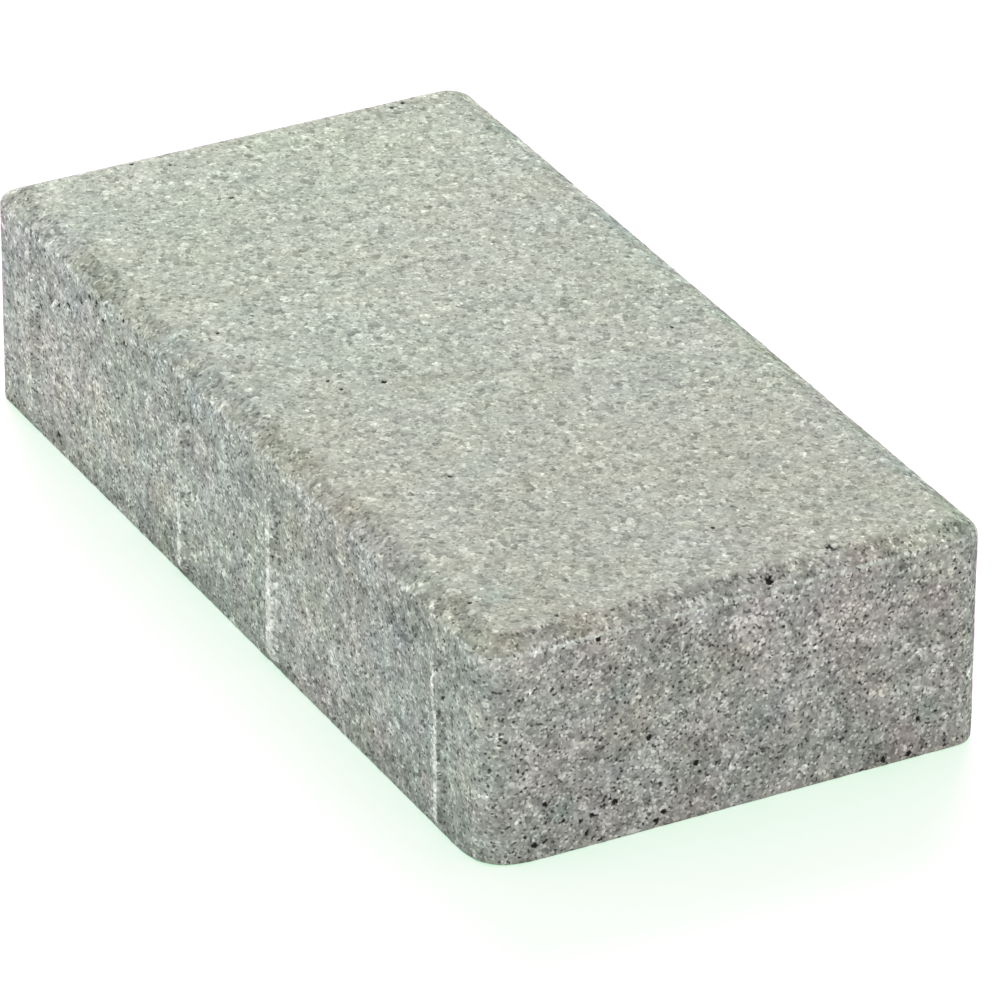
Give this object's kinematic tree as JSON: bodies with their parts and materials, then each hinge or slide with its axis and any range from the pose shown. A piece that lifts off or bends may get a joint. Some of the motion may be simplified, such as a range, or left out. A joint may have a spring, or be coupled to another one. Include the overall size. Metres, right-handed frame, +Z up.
{
  "type": "concrete paving stone",
  "caption": "Rectangular pressed concrete paving stone, twice as long as wide, with a chamfered top edge, rounded upright corners and spacer ribs on the long sides.",
  "frame": {"origin": "middle of the base, on the plane that the stone lies on", "axes": "+X along the stone's length, +Y across its width, +Z up out of the chamfered top face"},
  "size_m": [0.2, 0.102, 0.0445],
  "materials": {
    "concrete": "plain grey pressed concrete, dry and matte, sandy grain with fine pores"
  },
  "bodies": {
    "root": {"paving_stone": "concrete"}
  },
  "joints": []
}
